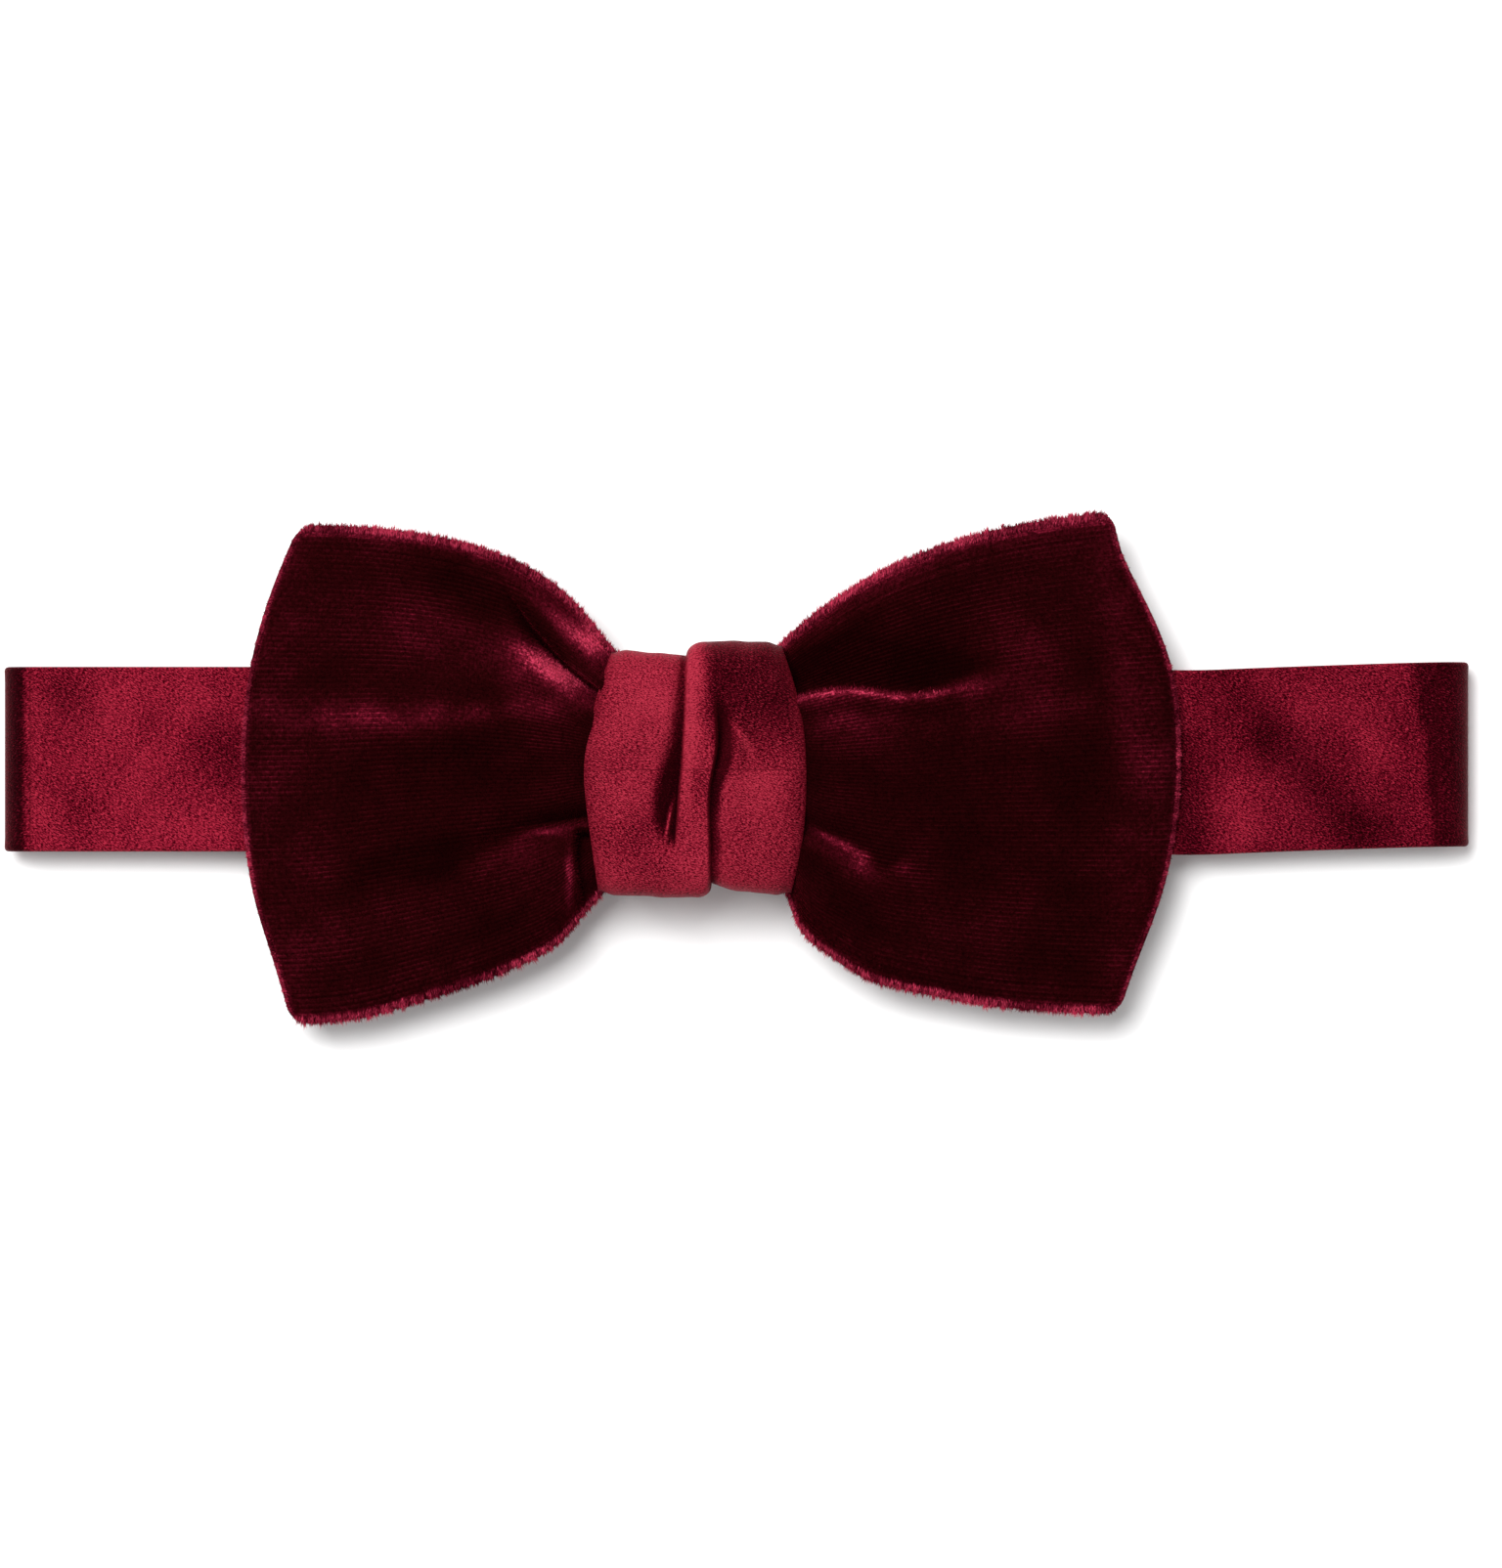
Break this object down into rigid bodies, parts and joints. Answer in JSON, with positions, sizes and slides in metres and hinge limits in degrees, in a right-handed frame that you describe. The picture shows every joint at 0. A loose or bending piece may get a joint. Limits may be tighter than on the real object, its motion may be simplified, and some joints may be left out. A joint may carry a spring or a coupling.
{
  "type": "bow tie",
  "caption": "Pre-tied bow tie: a velvet bow with a satin back, gathered by a satin knot, on an adjustable satin neck band with a slider, a hook and an eye.",
  "frame": {"origin": "on the surface that the tie lies on, under the middle of its outline", "axes": "+X along the band to the end with the eye, +Y up the bow, +Z out of the bow's front"},
  "size_m": [0.1944, 0.0682, 0.0225],
  "materials": {
    "velvet": "dark burgundy velvet with a fine horizontal rib and a pile that shines crimson at grazing angles",
    "lining_satin": "smooth burgundy satin, the bow's back",
    "knot_satin": "crimson satin, folded across itself",
    "band_satin": "crimson satin tube, softly creased",
    "canvas": "stiff woven interlining",
    "wadding": "soft folded wadding",
    "thread": "twisted polyester thread",
    "hardware": "nickel-plated die-cast metal with fine wear"
  },
  "bodies": {
    "root": {"bow_velvet": "velvet", "bow_stiffener": "canvas", "bow_lining": "lining_satin", "bow_stitches": "thread", "knot_wrap": "knot_satin", "knot_pad": "wadding", "knot_stitches": "thread", "front_band_satin": "band_satin", "front_band_canvas": "canvas"},
    "left_bend": {"left_fold_satin": "band_satin", "left_fold_canvas": "canvas"},
    "left_band": {"left_band_satin": "band_satin", "left_band_canvas": "canvas"},
    "slider": {"slider": "hardware", "adjuster_return": "band_satin", "adjuster_running": "band_satin", "adjuster_stitches": "thread"},
    "hook_strap": {"adjuster_turn": "band_satin"},
    "hook": {"hook": "hardware"},
    "right_bend": {"right_fold_satin": "band_satin", "right_fold_canvas": "canvas"},
    "right_band": {"right_band_satin": "band_satin", "right_band_canvas": "canvas", "right_band_hem": "band_satin", "hem_stitches": "thread"},
    "eye": {"eye": "hardware"}
  },
  "joints": [
    {"name": "left_fold", "type": "hinge", "parent": "root", "child": "left_bend", "pos_m": [-0.09594, 0.00135, 0.00725], "axis": [0, 1, 0], "range_deg": [0, 90], "deforming": ["left_fold_satin", "left_fold_canvas"]},
    {"name": "left_fold_lower", "type": "hinge", "parent": "left_bend", "child": "left_band", "pos_m": [-0.09594, 0.00135, 0.0016], "axis": [0, 1, 0], "range_deg": [0, 90]},
    {"name": "slider_slide", "type": "slide", "parent": "left_band", "child": "slider", "axis": [1, 0, 0], "range_m": [-0.036, 0.006], "deforming": ["adjuster_running", "adjuster_return"]},
    {"name": "strap_slide", "type": "slide", "parent": "slider", "child": "hook_strap", "axis": [1, 0, 0], "range_m": [-0.003, 0.018]},
    {"name": "hook_swivel", "type": "hinge", "parent": "hook_strap", "child": "hook", "pos_m": [-0.016, 0.00135, 0.00285], "axis": [0, 1, 0], "range_deg": [0, 120]},
    {"name": "right_fold", "type": "hinge", "parent": "root", "child": "right_bend", "pos_m": [0.09581, 0.00135, 0.00725], "axis": [0, -1, 0], "range_deg": [0, 90], "deforming": ["right_fold_satin", "right_fold_canvas"]},
    {"name": "right_fold_lower", "type": "hinge", "parent": "right_bend", "child": "right_band", "pos_m": [0.09581, 0.00135, 0.00055], "axis": [0, -1, 0], "range_deg": [0, 90]},
    {"name": "eye_swivel", "type": "hinge", "parent": "right_band", "child": "eye", "pos_m": [0.0135, 0.00135, 0.0018], "axis": [0, -1, 0], "range_deg": [0, 120]}
  ],
  "couplings": [
    {"joint": "left_fold_lower", "follows": "left_fold", "ratio": 1},
    {"joint": "right_fold_lower", "follows": "right_fold", "ratio": 1},
    {"joint": "strap_slide", "follows": "slider_slide", "ratio": -0.5}
  ]
}
